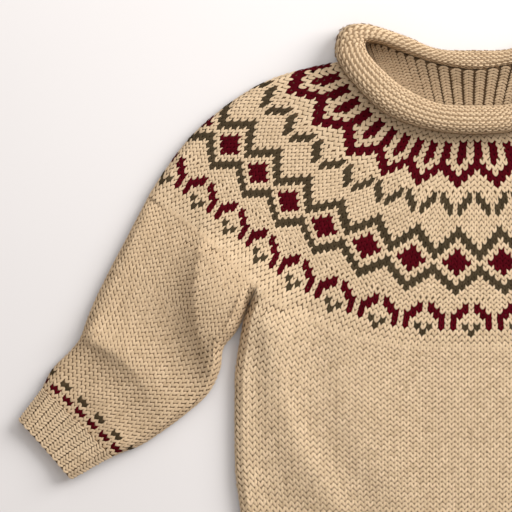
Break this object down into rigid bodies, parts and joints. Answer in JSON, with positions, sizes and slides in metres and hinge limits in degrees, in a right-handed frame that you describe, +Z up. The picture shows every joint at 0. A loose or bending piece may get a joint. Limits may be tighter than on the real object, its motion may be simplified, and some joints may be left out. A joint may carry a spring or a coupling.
{
  "type": "child's stranded-yoke knitted pullover lying flat",
  "caption": "Knitted child's pullover laid flat: round patterned yoke, straight body, full sleeves with ribbed cuffs, ribbed hem and a rolled collar.",
  "frame": {"origin": "centre of the bounding box on the surface that the pullover lies on", "axes": "+X across the garment to the viewer's right, +Y from the hem to the neck, +Z up from the surface"},
  "size_m": [0.6384, 0.4023, 0.0254],
  "materials": {
    "plain_knit": "matt oatmeal wool in stocking stitch, soft halo",
    "colourwork_knit": "matt oatmeal wool with burgundy and olive colourwork",
    "ribbed_knit": "matt oatmeal wool in one-by-one rib",
    "rolled_knit": "matt oatmeal wool, purl side out"
  },
  "bodies": {
    "root": {"yoke_front": "colourwork_knit", "yoke_back": "colourwork_knit", "body_front": "plain_knit", "body_back": "plain_knit", "hem_front": "ribbed_knit", "hem_back": "ribbed_knit", "sleeve_left_front": "plain_knit", "sleeve_left_back": "plain_knit", "sleeve_right_front": "plain_knit", "sleeve_right_back": "plain_knit", "cuff_left_front": "ribbed_knit", "cuff_left_back": "ribbed_knit", "cuff_right_front": "ribbed_knit", "cuff_right_back": "ribbed_knit", "neckband_front": "ribbed_knit", "neckband_back": "ribbed_knit", "collar_front": "rolled_knit", "collar_back": "rolled_knit"}
  },
  "joints": []
}
